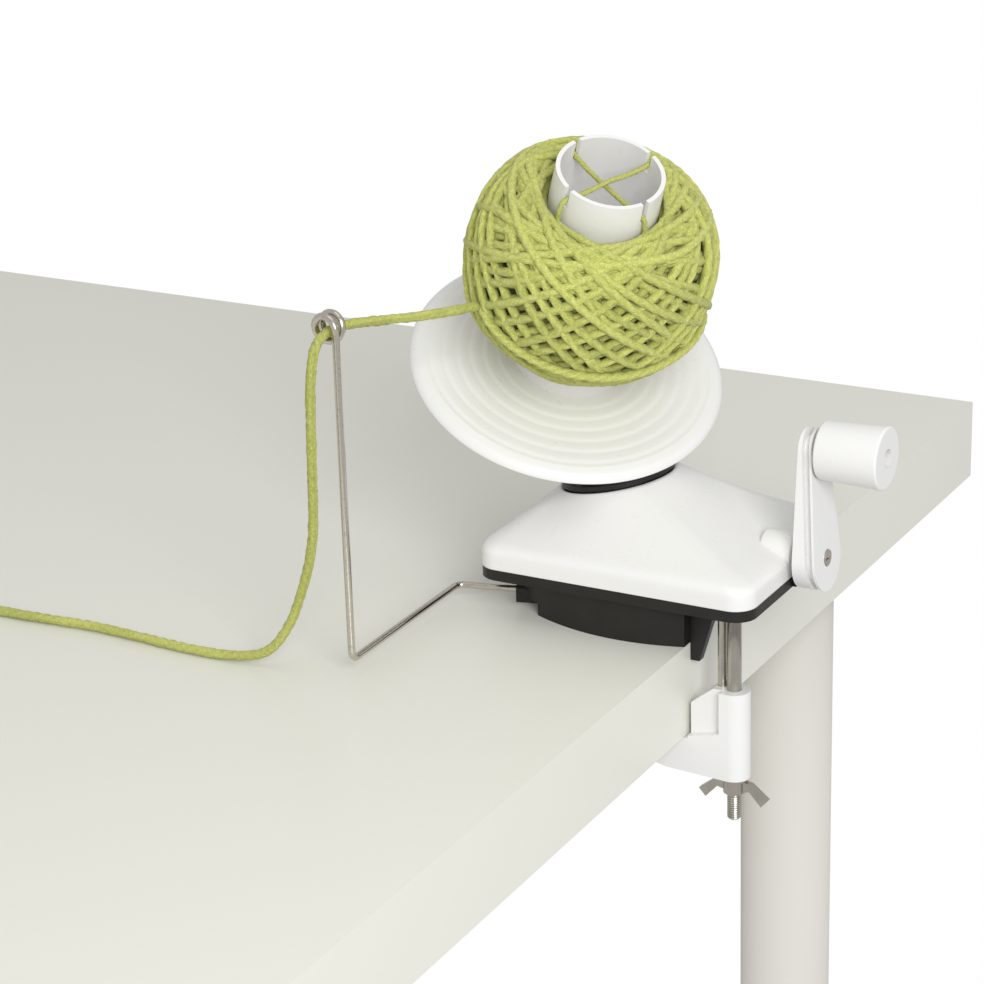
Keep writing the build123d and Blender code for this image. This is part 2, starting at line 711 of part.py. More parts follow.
def grip_start():
    """Where the grip clears the arm's leaning face, from the arm's inner face."""
    return arm_thickness - math.tan(math.radians(arm_lean)) * (arm_length - grip_inner_r) + grip_gap


def on_tip(shape):
    return along_x(shape, arm_inner_x, 0, crank_z + arm_length)


def grip_pin():
    head_top = grip_start() + grip_length - grip_pin_head_depth
    head_low = head_top - grip_pin_head_height
    pin = disc(grip_pin_d / 2, -grip_pin_flange_height, head_top)
    pin += disc(grip_bore_d / 2 - grip_pin_head_gap, head_low, head_top)
    return on_tip(pin + disc(grip_pin_d / 2 + grip_pin_flange, -grip_pin_flange_height, 0))


def handle_grip():
    low = grip_start()
    high = low + grip_length
    grip = spun(((0, low), (grip_inner_r, low), (grip_outer_r, high), (0, high)))
    grip = fillet(grip.edges().filter_by(GeomType.CIRCLE), grip_round)
    grip -= disc(grip_pin_d / 2 + running_gap, low - past, high + past)
    return on_tip(grip - disc(grip_bore_d / 2, high - grip_bore_depth, high + past))


# ---- rotor ----
def rotor_pinion():
    teeth = tooth_loft(pinion_teeth, pinion_r, drive_module, pinion_angle, drive_near, 1.0)
    bore = disc(post_d / 2 + running_gap, pinion_low - past, pinion_high + past)
    return at(fixed_frame, Pos(0, 0, -drive_drop) * teeth - bore)


def rotor_sleeve():
    return at(fixed_frame, tube(sleeve_d / 2, post_d / 2 + running_gap, pinion_high, collar_thickness))


def to_rotor(r, w):
    """Radius and height in the rotor's frame of a point in the spool's middle plane."""
    return r * math.cos(lean) - w * math.sin(lean), apex_height - r * math.sin(lean) - w * math.cos(lean)


def carrier_arm():
    foot_x = -sun_r - carrier_foot_gap
    neck_w = carrier_hub_top + carrier_hub_length - carrier_neck
    low_w = carrier_hub_top + carrier_hub_length
    return prism_xz((
        (foot_x, collar_gap), (foot_x, carrier_foot_height), to_rotor(carrier_hub_r, neck_w),
        to_rotor(-carrier_hub_r, neck_w), to_rotor(carrier_cut - carrier_hub_r, low_w),
        (-collar_r - carrier_reach, carrier_outer_height), (carrier_inset - collar_r, collar_gap)),
        -carrier_width / 2, carrier_width / 2)


def rotor_carrier():
    low = carrier_hub_top + carrier_hub_length
    spigot_r = neck_r - neck_wall - spigot_gap
    along_spindle = Pos(0, 0, apex_height) * Rot(0, spindle_tilt, 0)
    body = disc(collar_r, collar_gap, collar_thickness) + disc(spigot_r, -spigot_depth, collar_gap)
    body -= disc(spigot_r - spigot_wall, -spigot_depth - past, -merge)
    body += disc(sleeve_d / 2 + sleeve_hub_wall, -sleeve_hub_depth, collar_gap)
    body += carrier_arm() + along_spindle * disc(carrier_hub_r, -low, -carrier_hub_top)
    body -= along_spindle * disc(spindle_head_r + head_gap, -low - carrier_hub_length, -low)
    body -= along_spindle * disc(spindle_d / 2, -low - past, -carrier_hub_top + past)
    return at(rotor_frame, body - disc(sleeve_d / 2, -sleeve_hub_depth - past, collar_thickness + past))


def spindle():
    low = carrier_hub_top + carrier_hub_length
    rod = disc(spindle_d / 2, -low, cone_floor + cone_floor_thickness + spindle_tip)
    return at(spool_frame, rod + disc(spindle_head_r, -low - spindle_head_height, -low))


washer_low = cone_floor + cone_floor_thickness + spindle_washer_gap
washer_high = washer_low + spindle_washer_thickness


def spindle_washer():
    return at(spool_frame, tube(spindle_washer_r, spindle_d / 2, washer_low, washer_high))


def spindle_clip():
    top = washer_high + spindle_clip_thickness
    half_mouth = spindle_clip_mouth / 2
    ring = tube(spindle_clip_r, spindle_d / 2, washer_high, top)
    mouth = block(0, spindle_clip_r + past, -half_mouth, half_mouth, washer_high - past, top + past)
    return at(spool_frame, ring - mouth)


def carrier_washer():
    low = -carrier_hub_top
    return at(spool_frame, tube(carrier_washer_r, spindle_d / 2, low, low + carrier_washer_thickness))


# ---- spool ----
spool_bore_r = spindle_d / 2 + running_gap
saucer_inner = saucer_band - step_count * step_height
cone_base = -saucer_inner


def saucer():
    """Drop below the crossing point at each radius, outwards over the steps and back under."""
    profile = [(spool_bore_r, saucer_inner)]
    for k in range(step_count):
        r, drop = step_first_r + k * step_pitch, saucer_inner + k * step_height
        profile += [(r, drop), (r + step_run, drop + step_height)]
    profile.append((saucer_band_r, saucer_band))
    profile += [(saucer_r + dr, saucer_band + drop) for dr, drop in saucer_round]
    profile += [(saucer_r, saucer_rim_low), (saucer_r - saucer_wall, saucer_rim_low)]
    under = saucer_band + saucer_wall
    hub_low = carrier_hub_top - carrier_washer_thickness - hub_gap
    inner_under = saucer_inner + saucer_wall
    profile += [(ring_outer_r + saucer_wall, under), (step_first_r + step_pitch, under),
                (step_first_r, inner_under), (saucer_hub_foot_r, inner_under),
                (saucer_hub_r, hub_low), (spool_bore_r, hub_low)]
    return at(spool_frame, spun([(r, -drop) for r, drop in profile]))


def ring_gear():
    rim = tube(ring_outer_r, ring_r * planet_near - ring_lip, -ring_low - ring_drop, -saucer_band - saucer_wall)
    teeth = tooth_loft(ring_teeth, ring_r, planet_module, ring_angle, *ring_reach, inner=True, phase=0.5)
    return at(spool_frame, rim - teeth)


def cone_radius(height):
    return cone_base_r + (cone_top_r - cone_base_r) * (height - cone_base) / (cone_top - cone_base)


def winding_cone():
    cone = spun(((cone_base_r, cone_base), (cone_top_r, cone_top),
                 (cone_top_r - cone_wall, cone_top), (cone_base_r - cone_wall, cone_base)))
    slot = block(cone_top_r / 2, cone_base_r, -slot_width / 2, slot_width / 2,
                 cone_top - slot_depth, cone_top + past)
    for k in range(slot_count):
        cone -= Rot(0, 0, slot_first + 360 / slot_count * k) * slot
    return at(spool_frame, cone)


def cone_web():
    low, high = cone_floor, cone_floor + cone_floor_thickness
    return at(spool_frame, spun(((spool_bore_r, low), (cone_radius(low) - cone_wall, low),
                                 (cone_radius(high) - cone_wall, high), (spool_bore_r, high))))


def yarn_cake():
    inner = [(cone_radius(h) + cake_gap, h) for h in (cake_high, cake_low)]
    return at(spool_frame, spun((*cake_profile, *inner)))


def yarn_start():
    """Two crossing strands laid in the four slots; one end of each hangs down outside."""
    strands = []
    first = cone_top - slot_depth + start_yarn_d / 2 + cake_gap
    outside = cone_top_r + start_yarn_d / 2 + start_gap
    for k, turn_by in enumerate(start_turns):
        height = first + k * (start_yarn_d + cake_gap)
        points = ((-cone_top_r - start_gap, 0, height), (outside, 0, height),
                  (outside + start_gap, 0, cake_high + start_drop))
        strand = Rot(0, 0, slot_first + turn_by) * rod_path(points, start_bend_r, start_yarn_d)
        strands.append(at(spool_frame, strand))
    return Compound(children=strands)


# ---- jaw ----
def clamp_jaw():
    inner = table_edge_x + jaw_edge_gap
    front, back = rod_y - post_r, rod_y + post_r
    jaw = rod_place * disc(post_r, jaw_low, post_top)
    jaw += prism_xz((
        (inner, under_table), (inner, under_table + jaw_shoulder), (inner + jaw_shoulder_run, post_top),
        (rod_x, post_top), (rod_x, jaw_low), (inner - jaw_root, jaw_low + jaw_root_lift),
        (jaw_tip_x, under_table - jaw_tip_height), (jaw_tip_x, under_table)), front, back)
    jaw += Pos(jaw_tip_x, rod_y, 0) * disc(post_r, under_table - jaw_tip_height, under_table)
    jaw -= prism_xz((
        (inner - past, under_table + jaw_ridge[0]), (jaw_step_x, under_table + jaw_ridge[1]),
        (jaw_step_x, post_top + past), (inner - past, post_top + past)), front - past, front + jaw_step)
    jaw -= rod_place * disc(rod_d / 2 + jaw_slide_gap, jaw_low - past, post_top + past)
    jaw -= pin_place * disc(guide_pin_d / 2 + jaw_slide_gap, jaw_low - past, post_top + past)
    return jaw - pad_place() * disc(jaw_pad_r + jaw_slide_gap, -jaw_pad_thickness, past)


def pad_place():
    return Pos(jaw_tip_x + jaw_pad_inset, rod_y, under_table)


def jaw_pad():
    return pad_place() * disc(jaw_pad_r, -jaw_pad_thickness, 0)


def jaw_washer():
    return rod_place * tube(jaw_washer_r, rod_d / 2 + jaw_slide_gap, jaw_low - jaw_washer_thickness, jaw_low)


def wing_nut():
    bore_r = rod_d / 2 + jaw_slide_gap
    nut = tube(wing_hub_r, bore_r, -wing_hub_height, 0)
    for side in (-1, 1):
        wing = prism_xz([(side * r, h) for r, h in wing_outline], -wing_thickness / 2, wing_thickness / 2)
        nut += wing
    nut -= disc(bore_r, -wing_hub_height - past, past)
    return rod_place * (Pos(0, 0, jaw_low - jaw_washer_thickness) * nut)


# ---- wire guide ----
def wire_guide():
    """One wire: out of the belly, along the table, up, and round in a coil that runs
    from its right side over the top to the left, moving away from the front."""
    inner = Vector(socket_point[0], socket_point[1], wire_z) + guide_dir * wire_inside
    points = [inner, Vector(*wire_bend, wire_z), Vector(*wire_foot, wire_z)]
    radii = [wire_bend_r, wire_bend_r]
    middle = Vector(wire_foot[0] - eye_r, wire_foot[1], eye_z)
    step = 2 * math.pi / eye_corners
    corner_r = eye_r / math.cos(step / 2)
    for k in range(int(eye_turns * eye_corners)):
        angle = (k + 0.5) * step
        points.append(middle + Vector(corner_r * math.cos(angle), eye_pitch * k / eye_corners,
                                      corner_r * math.sin(angle)))
        radii.append(eye_r * eye_round)
    return rod_path(points, radii[:-1], wire_d)


def free_yarn(name, points):
    radii = corner_radii(points)
    print(name, "radii", [round(r, 1) for r in radii])
    return rod_path(points, radii, yarn_d)


def yarn_tail():
    return free_yarn("yarn_tail", tail_points)


def yarn_feed():
    return free_yarn("yarn_feed", feed_points)


pieces = (
    base_pan, foot_pad, top_cover, cover_screws, crank_bush, inner_bush, clamp_rod, guide_pin,
    rotor_post, thrust_washer, sun_gear, post_screw,
    crank_gear, crank_shaft, shaft_collar, crank_arm, crank_screw, grip_pin, handle_grip,
    rotor_pinion, rotor_sleeve, rotor_carrier, spindle, spindle_washer, spindle_clip, carrier_washer,
    saucer, ring_gear, winding_cone, cone_web, yarn_cake, yarn_start,
    clamp_jaw, jaw_pad, jaw_washer, wing_nut, wire_guide, guide_clip, yarn_tail, yarn_feed)

os.makedirs("parts", exist_ok=True)
for piece in pieces:
    export_step(piece(), f"parts/{piece.__name__}.step")
    print("wrote", piece.__name__)
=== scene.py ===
import json

import bpy
import numpy as np
from mathutils import Matrix, Vector


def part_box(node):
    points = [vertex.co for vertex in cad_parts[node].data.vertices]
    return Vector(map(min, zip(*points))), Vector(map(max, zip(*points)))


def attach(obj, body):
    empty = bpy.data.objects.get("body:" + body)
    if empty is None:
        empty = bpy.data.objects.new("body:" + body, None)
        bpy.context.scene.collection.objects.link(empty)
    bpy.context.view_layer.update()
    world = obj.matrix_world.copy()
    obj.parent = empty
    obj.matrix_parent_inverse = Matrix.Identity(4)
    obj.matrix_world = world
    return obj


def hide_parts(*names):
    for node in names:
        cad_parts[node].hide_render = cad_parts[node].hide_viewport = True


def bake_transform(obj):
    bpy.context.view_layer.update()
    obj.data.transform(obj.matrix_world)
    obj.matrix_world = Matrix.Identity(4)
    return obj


mm = 0.001
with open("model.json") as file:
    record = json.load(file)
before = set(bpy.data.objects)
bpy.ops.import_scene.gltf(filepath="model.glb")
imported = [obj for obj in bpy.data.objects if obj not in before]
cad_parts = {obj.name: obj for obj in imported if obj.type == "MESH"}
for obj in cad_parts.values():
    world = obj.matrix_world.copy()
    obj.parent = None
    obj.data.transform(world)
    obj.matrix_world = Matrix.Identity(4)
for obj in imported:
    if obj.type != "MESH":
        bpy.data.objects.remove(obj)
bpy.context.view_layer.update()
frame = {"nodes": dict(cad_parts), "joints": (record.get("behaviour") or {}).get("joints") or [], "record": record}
cadNodes = frame["nodes"]
print("frame loaded:", len(cadNodes), "nodes")


def jointNamed(name):
    return next(j for j in frame["joints"] if j["name"] == name)


def unit(v):
    v = np.asarray(v, float)
    return v / np.linalg.norm(v, axis=-1, keepdims=True)


# places and directions read from the joints; the low side lies across the spindle
neckPoint = np.array(jointNamed("rotor_turn")["pos_m"])
rotorDir = unit(jointNamed("rotor_turn")["axis"])
spoolMiddle = np.array(jointNamed("spool_turn")["pos_m"])
spoolDir = unit(jointNamed("spool_turn")["axis"])
lowSide = unit(spoolDir * (rotorDir @ spoolDir) - rotorDir)
farSide = np.cross(spoolDir, lowSide)


def onSpool(radius, height, angle):
    # point at a radius, a height along the spindle and an angle round it from the low side
    radius, height, angle = np.broadcast_arrays(radius, height, angle)
    flat = np.cos(angle)[..., None] * lowSide + np.sin(angle)[..., None] * farSide
    return spoolMiddle + radius[..., None] * flat + height[..., None] * spoolDir


class Wire:
    # one socket; a sum or product written with it adds the Math node that works it out
    def __init__(self, nodes, socket):
        self.nodes = nodes
        self.socket = socket

    def math(self, operation, first, second):
        return self.nodes.node("ShaderNodeMath", {"operation": operation}, [first, second])

    def __add__(self, other):
        return self.math("ADD", self, other)

    def __radd__(self, other):
        return self.math("ADD", other, self)

    def __mul__(self, other):
        return self.math("MULTIPLY", self, other)

    def __rmul__(self, other):
        return self.math("MULTIPLY", other, self)


class Nodes:
    # a node tree, emptied and then filled through one method
    def __init__(self, tree):
        self.tree = tree
        tree.nodes.clear()

    def node(self, kind, settings=None, values=(), output=0):
        # settings first, then values or wires for its sockets, by place or by name
        made = self.tree.nodes.new(kind)
        for key, value in (settings or {}).items():
            setattr(made, key, value)
        named = values.items() if isinstance(values, dict) else enumerate(values)
        for key, value in named:
            self.feed(made.inputs[key], value)
        return Wire(self, made.outputs[output]) if made.outputs else None

    def feed(self, socket, value):
        if isinstance(value, Wire):
            self.tree.links.new(value.socket, socket)
        else:
            socket.default_value = value


class Finish(Nodes):
    # a material with one Principled shader; fixed values go straight onto its sockets
    def __init__(self, name, **fixed):
        self.material = bpy.data.materials.new(name)
        self.material.use_nodes = True
        super().__init__(self.material.node_tree)
        surface = self.node("ShaderNodeBsdfPrincipled")
        self.shader = surface.socket.node
        self.node("ShaderNodeOutputMaterial", None, {"Surface": surface})
        self.set(**fixed)

    def place(self, scale=(1, 1, 1), source="Object"):
        coords = self.node("ShaderNodeTexCoord", output=source)
        return self.node("ShaderNodeMapping", None, {"Vector": coords, "Scale": scale})

    def noise(self, scale, detail, place=None, roughness=0.5):
        values = {"Vector": place or self.place(), "Scale": scale, "Detail": detail, "Roughness": roughness}
        return self.node("ShaderNodeTexNoise", None, values, "Fac")

    def spread(self, wire, low, high, fromLow=0.0, fromHigh=1.0):
        values = {"Value": wire, "From Min": fromLow, "From Max": fromHigh, "To Min": low, "To Max": high}
        return self.node("ShaderNodeMapRange", None, values)

    def between(self, share, first, second):
        return self.node("ShaderNodeMix", {"data_type": "RGBA"}, {0: share, 6: first, 7: second}, 2)

    def bump(self, height, strength, distance):
        values = {"Height": height, "Strength": strength, "Distance": distance}
        self.set(Normal=self.node("ShaderNodeBump", None, values))

    def set(self, **wires):
        for socket, value in wires.items():
            self.feed(self.shader.inputs[socket.replace("_", " ")], value)


def opaque(colour):
    return (*colour, 1)


# For each slot: two colours and the noise that mixes them (scale and detail), the roughness from smooth
# to dull and its noise, and bump as a noise with its strength and distance. Cut keeps only part of a noise.
looks = {
    "white_plastic": {
        "name": "mouldedWhite", "shader": {"IOR": 1.5},
        "colours": ((0.83, 0.825, 0.815), (0.79, 0.785, 0.77)), "patches": (14, 2),
        "roughness": (0.24, 0.34), "wear": (120, 2), "bump": (60, 1, 0.04, 0.002)},
    "black_plastic": {
        "name": "mouldedBlack", "shader": {"IOR": 1.48, "Specular_IOR_Level": 0.35},
        "colours": ((0.009, 0.008, 0.007), (0.02, 0.018, 0.016)), "patches": (90, 3),
        "roughness": (0.36, 0.5), "wear": (240, 2), "bump": (2400, 2, 0.12, 0.0003)},
    "gear_plastic": {
        "name": "gearPlastic", "shader": {"IOR": 1.48},
        "colours": ((0.72, 0.71, 0.67), (0.62, 0.61, 0.57)), "patches": (70, 2),
        "roughness": (0.4, 0.55), "wear": (200, 2), "bump": (1500, 1, 0.06, 0.0003)},
    "bush_plastic": {
        "name": "bushPlastic", "shader": {"IOR": 1.48},
        "colours": ((0.58, 0.55, 0.46), (0.5, 0.47, 0.4)), "patches": (120, 2),
        "roughness": (0.45, 0.6), "wear": (260, 2)},
    "foot_rubber": {
        "name": "footRubber", "shader": {"IOR": 1.45, "Specular_IOR_Level": 0.3},
        "colours": ((0.02, 0.02, 0.02), (0.04, 0.04, 0.04)), "patches": (140, 3),
        "roughness": (0.7, 0.9), "wear": (300, 2), "bump": (1800, 3, 0.3, 0.0004)},
    "jaw_rubber": {
        "name": "jawRubber", "shader": {"IOR": 1.45, "Specular_IOR_Level": 0.3},
        "colours": ((0.5, 0.5, 0.48), (0.58, 0.58, 0.56)), "patches": (140, 3),
        "roughness": (0.7, 0.9), "wear": (300, 2), "bump": (1800, 3, 0.3, 0.0004)},
    "wire_chrome": {
        "name": "brightWire", "shader": {"Metallic": 1.0},
        "colours": ((0.62, 0.58, 0.52), (0.44, 0.40, 0.35)), "patches": (900, 3), "cut": (0.55, 0.75),
        "roughness": (0.12, 0.22), "wear": (400, 2)},
    "bright_steel": {
        "name": "zincSteel", "shader": {"Metallic": 1.0},
        "colours": ((0.42, 0.39, 0.34), (0.58, 0.55, 0.49)), "patches": (160, 3),
        "roughness": (0.16, 0.30), "wear": (300, 2)},
    "plain_steel": {
        "name": "turnedSteel", "shader": {"Metallic": 1.0},
        "colours": ((0.42, 0.42, 0.43), (0.55, 0.55, 0.55)), "patches": (300, 2),
        "roughness": (0.25, 0.4), "wear": (900, 2)},
}


def surfaceFinish(look):
    f = Finish(look["name"], **look["shader"])
    patches = f.noise(*look["patches"])
    if "cut" in look:
        patches = f.spread(patches, 0, 1, *look["cut"])
    f.set(Base_Color=f.between(patches, *[opaque(colour) for colour in look["colours"]]),
          Roughness=f.spread(f.noise(*look["wear"]), *look["roughness"]))
    if "bump" in look:
        scale, detail, strength, distance = look["bump"]
        f.bump(f.noise(scale, detail), strength, distance)
    return f


wool = {
    "shader": {"IOR": 1.45, "Specular_IOR_Level": 0.15, "Sheen_Weight": 0.12, "Sheen_Roughness": 0.6},
    # deep is the painted shade of yarn in gaps, grooves and under other strands
    "deep": (0.13, 0.155, 0.012), "mid": (0.42, 0.455, 0.075), "pale": (0.78, 0.79, 0.29),
    "fibres": (4, 26, 1), "fibreRoughness": 0.65,           # noise cells a centimetre along, and round the strand
    "tufts": (1150, 2),
    "fibreShare": 0.65, "cut": (0.36, 0.68),                # of the pale colour's noise
    "grooveShade": 0.35, "shadeRange": (0.0, 1.2),
    "roughness": (0.8, 0.95), "bump": (0.5, 0.8), "bumpStrength": 0.8, "bumpDistance": 0.0007,
}


def woolFinish():
    # UV x runs along the strand in centimetres, UV y round it with the ply twist taken out
    f = Finish("woolYarn", **wool["shader"])
    # toneAndShade holds the yarn's random tone together with painted shade
    toneAndShade = f.node("ShaderNodeAttribute", {"attribute_name": "toneAndShade"}, output="Fac")
    groove = f.node("ShaderNodeAttribute", {"attribute_name": "groove"}, output="Fac")
    fibres = f.noise(1.0, 3, f.place(wool["fibres"], "UV"), wool["fibreRoughness"])
    tufts = f.noise(*wool["tufts"])
    fluff = fibres * wool["fibreShare"] + tufts * (1 - wool["fibreShare"])
    mixed = f.between(f.spread(fluff, 0, 1, *wool["cut"]), opaque(wool["mid"]), opaque(wool["pale"]))
    # painted shade: ply grooves, inward sides, buried loops and the core go towards the shade colour
    shade = f.spread(groove * wool["grooveShade"] + toneAndShade, 0, 1, *wool["shadeRange"])
    f.set(Base_Color=f.between(shade, mixed, opaque(wool["deep"])),
          Roughness=f.spread(fibres, *wool["roughness"]))
    fibreBump, tuftBump = wool["bump"]
    f.bump(fibres * fibreBump + tufts * tuftBump, wool["bumpStrength"], wool["bumpDistance"])
    return f


finishes = {slot: surfaceFinish(look) for slot, look in looks.items()}
finishes["yarn"] = woolFinish()
for part in frame["record"]["subparts"]:
    node = cadNodes[part["node"]]
    node.data.materials.clear()
    node.data.materials.append(finishes[part["material_slot"]].material)
print("finishes made:", len(finishes))


def gridMesh(name, grid, uv=None, marks=None, loop=False):
    # A grid of points, rows along and columns round, becomes quads between neighbours. The columns
    # close on themselves; with loop the rows do too, and without it each end gets a fan.
    rows, columns = grid.shape[:2]
    number = np.arange(rows * columns).reshape(rows, columns)
    lower = number if loop else number[:-1]
    upper = np.roll(number, -1, 0) if loop else number[1:]
    quads = np.stack([lower, np.roll(lower, -1, 1), np.roll(upper, -1, 1), upper], -1)
    faces = quads.reshape(-1, 4).tolist()
    points = grid.reshape(-1, 3)
    extra = 0
    if not loop:
        extra = 2
        for centre, end, turn in ((len(points), 0, 1), (len(points) + 1, -1, -1)):
            fan = np.stack([np.full(columns, centre), np.roll(number[end], -1), number[end]], -1)
            faces += fan[:, ::turn].tolist()
        points = np.concatenate([points, grid[[0, -1]].mean(1)])
    mesh = bpy.data.meshes.new(name)
    mesh.from_pydata(points.tolist(), [], faces)
    mesh.polygons.foreach_set("use_smooth", np.ones(len(faces), bool))
    for key, values in (marks or {}).items():
        flat = np.concatenate([np.broadcast_to(values, (rows, columns)).ravel(), np.zeros(extra)])
        mesh.attributes.new(key, "FLOAT", "POINT").data.foreach_set("value", flat.astype(np.float32))
    if uv is not None:
        corner = np.zeros(len(mesh.loops), np.int32)
        mesh.loops.foreach_get("vertex_index", corner)
        flat = np.concatenate([uv.reshape(-1, 2), np.zeros((extra, 2))])
        mesh.uv_layers.new(name="uv").data.foreach_set("uv", flat[corner].astype(np.float32).ravel())
    mesh.update()
    piece = bpy.data.objects.new(name, mesh)
    bpy.context.scene.collection.objects.link(piece)
    return piece


def dress(piece, body, slot, replaced=()):
    piece.data.materials.append(finishes[slot].material)
    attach(piece, body)
    if replaced:
        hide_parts(*replaced)


def runLength(line):
    return np.concatenate([[0], np.cumsum(np.linalg.norm(np.diff(line, axis=0), axis=1))])


def evenSteps(line, count):
    run = runLength(line)
    even = np.linspace(0, run[-1], count)
    return np.stack([np.interp(even, run, values) for values in line.T], -1)


def smoothLine(points, count):
    # even steps along a Catmull-Rom line through the points
    points = np.asarray(points, float)
    padded = np.concatenate([2 * points[:1] - points[1:2], points, 2 * points[-1:] - points[-2:-1]])
    t = np.linspace(0, len(points) - 1 - 1e-9, 40 * len(points))
    k = t.astype(int)
    f = (t - k)[:, None]
    a, b, c, d = padded[k], padded[k + 1], padded[k + 2], padded[k + 3]
    line = 0.5 * (2 * b + (c - a) * f + (2 * a - 5 * b + 4 * c - d) * f ** 2
                  + (3 * b - a - 3 * c + d) * f ** 3)
    return evenSteps(line, count)


def roundedLoop(points, radius, steps):
    # closed outline of straight runs with every corner drawn as a small arc through its run ends
    points = np.asarray(points, float)
    before = np.roll(points, 1, 0) - points
    after = np.roll(points, -1, 0) - points
    reach = np.minimum(np.linalg.norm(before, axis=1), np.linalg.norm(after, axis=1)) * 0.45
    reach = np.minimum(reach, radius)[:, None, None]
    s = np.linspace(0, 1, steps)[None, :, None]
    start = points[:, None] + unit(before)[:, None] * reach
    end = points[:, None] + unit(after)[:, None] * reach
    arc = (1 - s) ** 2 * start + 2 * s * (1 - s) * points[:, None] + s ** 2 * end
    return arc.reshape(-1, 2)


def turned(name, outline, middle, first, along, sides, marks=None):
    # a closed outline of radius and distance turned round an axis through a point
    angle = np.linspace(0, 2 * np.pi, sides, endpoint=False)[:, None]
    flat = np.cos(angle) * first + np.sin(angle) * np.cross(along, first)
    grid = middle + outline[:, 0, None, None] * flat + outline[:, 1, None, None] * along
    return gridMesh(name, grid, marks=marks, loop=True)


yarn = {
    "diameter": 4.0 * mm, "plies": 3, "twist": 15 * mm, "sides": 12,
    "depth": 0.24, "rough": 0.07,       # of the radius: grooves between plies, and loose fibres
    "lobe": 0.7, "grooveFade": 1.5,     # lower lobe is a fuller ply; grooveFade narrows the painted shade in the grooves
    "flankShade": 0.85, "flankFade": 1.3,    # painted shade on the side that faces inwards
    "uvUnit": 10 * mm,
}


def yarnTube(name, path, outward, options, toneAndShade):
    # A lobed section carried along the path: its radius is the yarn's, drawn in where two plies meet,
    # and the lobes turn once in each twist length. A little random radius stands for the fibres.
    along = unit(np.gradient(path, axis=0))
    side = unit(np.cross(along, outward))
    up = np.cross(side, along)
    run = runLength(path)[:, None]
    angle = np.linspace(0, 2 * np.pi, options["sides"], endpoint=False)[None, :]
    twisted = angle - 2 * np.pi * run / options["twist"]
    groove = 1 - np.abs(np.cos(options["plies"] * twisted / 2)) ** options["lobe"]
    rough = np.random.default_rng(len(path)).normal(0, 1, groove.shape)
    rough = (rough + np.roll(rough, 1, 0) + np.roll(rough, -1, 0)) / 3
    radius = options["diameter"] / 2 * (1 - options["depth"] * groove + options["rough"] * rough)
    grid = (path[:, None] + (radius * np.cos(angle))[..., None] * side[:, None]
            + (radius * np.sin(angle))[..., None] * up[:, None])
    uv = np.stack([np.broadcast_to(run / options["uvUnit"], twisted.shape), twisted / (2 * np.pi)], -1)
    # painted shade on the strand's inward side, added to its tone
    shade = toneAndShade[:, None] + options["flankShade"] * ((1 - np.sin(angle)) / 2) ** options["flankFade"]
    # the groove mark is painted shade where two plies meet
    return gridMesh(name, grid[:, ::-1], uv=uv[:, ::-1],
                    marks={"groove": groove[:, ::-1] ** options["grooveFade"], "toneAndShade": shade[:, ::-1]})


def wander(random, count, waves, size):
    # a smooth random line: the sum of sines of rising number, each with its own phase and height
    t = np.linspace(0, 2 * np.pi, count)[:, None]
    k = np.arange(1, waves + 1)[None, :]
    phase = random.uniform(0, 2 * np.pi, (1, waves))
    height = random.normal(0, 1, (1, waves))
    return (np.sin(k * t + phase) * height / np.sqrt(waves)).sum(1) * size


cake = {
    "profile": ((24.2, -28.5), (30, -21), (40, -11), (46, -3), (50, 5), (51.3, 18), (51, 30),
                (49, 40), (45.2, 47.2), (40.5, 52.3), (35, 55.6), (28.6, 56.2), (23.6, 54.2)),
    "loops": 80, "loopLength": 320 * mm, "step": 2.1 * mm, "batches": 3, "seed": 11,
    "reach": (0.36, 0.488),                          # half a loop's height, of the way up the side
    "ends": (0.03, 0.985),                           # lowest and highest place on the side
    "fullLoops": 0.25,                               # wander below this leaves a loop its full height
    "tilt": 0.78,                                    # steepness of a loop
    "precession": 24 / 76, "drift": 0.0047,          # turns between one loop and the next
    "deepest": 7.0 * mm, "sinking": 1.5,             # oldest loops below the newest
    "skin": 0.9 * mm, "buriedShade": 0.55,               # newest loops over the outline; painted shade on the oldest loops, which lie deepest
    # random waves for each loop, and their size
    "placeWander": (3, 0.010), "turnWander": (2, 0.035),
    "liftWander": (5, 0.75 * mm), "toneWander": (2, 0.10),
}
cakeLine = smoothLine(cake["profile"], 240) * mm
cakePlace = np.linspace(0, 1, len(cakeLine))
cakeNormal = unit(np.stack([np.gradient(cakeLine[:, 1]), -np.gradient(cakeLine[:, 0])], -1))


def onCake(share, lift, angle):
    # point at a share of the way up the cake's side, lifted off it, at an angle round it
    r, h, nr, nh = (np.interp(share, cakePlace, v) for v in (*cakeLine.T, *cakeNormal.T))
    return onSpool(r + nr * lift, h + nh * lift, angle)


def cakeStrand(name, share, lift, angle, toneAndShade):
    outward = unit(onCake(share, 1 * mm, angle) - onCake(share, 0, angle))
    return yarnTube(name, onCake(share, lift, angle), outward, yarn, toneAndShade)


